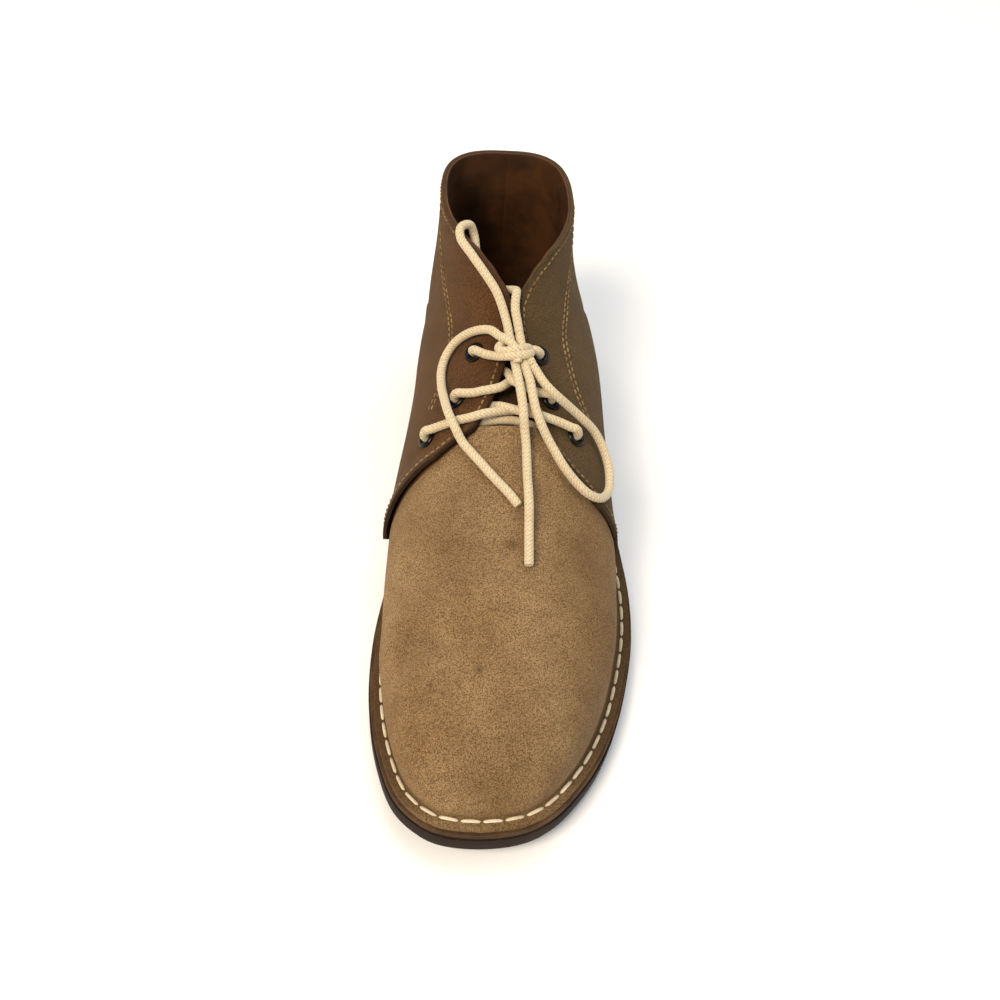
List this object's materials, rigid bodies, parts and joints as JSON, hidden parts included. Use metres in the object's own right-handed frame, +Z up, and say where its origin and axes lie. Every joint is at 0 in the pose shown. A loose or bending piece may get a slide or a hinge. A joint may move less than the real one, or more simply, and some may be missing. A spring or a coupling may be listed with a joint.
{
  "type": "chukka boot",
  "caption": "Ankle-high lace-up suede chukka boot with an open collar, eyelet facings, a tongue and a low stitched-down rubber sole",
  "frame": {"origin": "on the floor, under the middle of the boot's outline", "axes": "+Z up, toe towards -Y and heel towards +Y, medial side towards -X and lateral side towards +X"},
  "size_m": [0.1097, 0.2988, 0.1223],
  "materials": {
    "suede": "napped suede",
    "lining_leather": "smooth, matt",
    "midsole_leather": "cut edge",
    "sole_rubber": "matt",
    "eyelet_enamel": "gloss",
    "lace_cotton": "round braid, matt"
  },
  "bodies": {
    "root": {"upper": "suede", "tongue": "suede", "insole": "lining_leather", "midsole": "midsole_leather", "outsole": "sole_rubber", "heel": "sole_rubber", "eyelet_medial_low": "eyelet_enamel", "eyelet_medial_mid": "eyelet_enamel", "eyelet_medial_top": "eyelet_enamel", "eyelet_lateral_low": "eyelet_enamel", "eyelet_lateral_mid": "eyelet_enamel", "eyelet_lateral_top": "eyelet_enamel", "lace_crossings": "lace_cotton", "lace_knot": "lace_cotton", "lace_loop_upper": "lace_cotton", "lace_loop_right": "lace_cotton", "lace_end_left": "lace_cotton", "lace_end_centre": "lace_cotton"}
  },
  "joints": []
}
